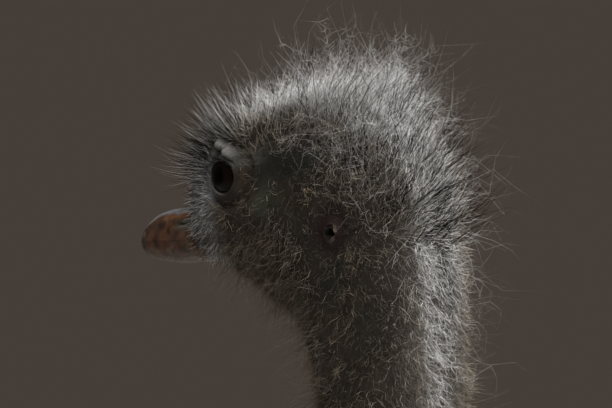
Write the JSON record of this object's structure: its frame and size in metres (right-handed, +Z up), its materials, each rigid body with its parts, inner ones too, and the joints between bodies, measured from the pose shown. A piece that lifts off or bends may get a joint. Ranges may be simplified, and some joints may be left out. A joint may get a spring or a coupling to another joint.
{
  "type": "ostrich",
  "caption": "Standing adult hen ostrich, life-size display model with raised neck, loose folded wings and two-toed feet flat on the floor.",
  "frame": {"origin": "middle of the whole bird's box, at floor level, between the feet", "axes": "+Z up; the bird faces -Y; her left side is +X"},
  "size_m": [0.547, 1.3622, 1.9559],
  "materials": {
    "down": "soft matt grey-brown and off-white hair-like down",
    "horn": "satin horn, mottled reddish brown with a grey rim",
    "eye": "wet, very dark brown",
    "bare_skin": "wrinkled matt grey-pink skin",
    "plumes": "loose matt grey-brown body plumes",
    "pale_plumes": "soft off-white and buff plumes",
    "scutes": "dry grey-brown scales with worn edges",
    "claw": "satin dark horn, paler at the worn tip"
  },
  "bodies": {
    "root": {"head": "down", "bill_upper": "horn", "bill_lower": "horn", "eye_left": "eye", "eye_right": "eye", "ear_left": "bare_skin", "ear_right": "bare_skin", "neck_upper": "down", "neck_middle": "down", "neck_lower": "down", "trunk": "plumes", "wing_left": "plumes", "wing_right": "plumes", "tail": "pale_plumes", "thigh_left": "bare_skin", "thigh_right": "bare_skin", "shank_left": "scutes", "shank_right": "scutes", "toe_inner_left": "scutes", "toe_inner_right": "scutes", "toe_outer_left": "scutes", "toe_outer_right": "scutes", "claw_left": "claw", "claw_right": "claw"}
  },
  "joints": []
}
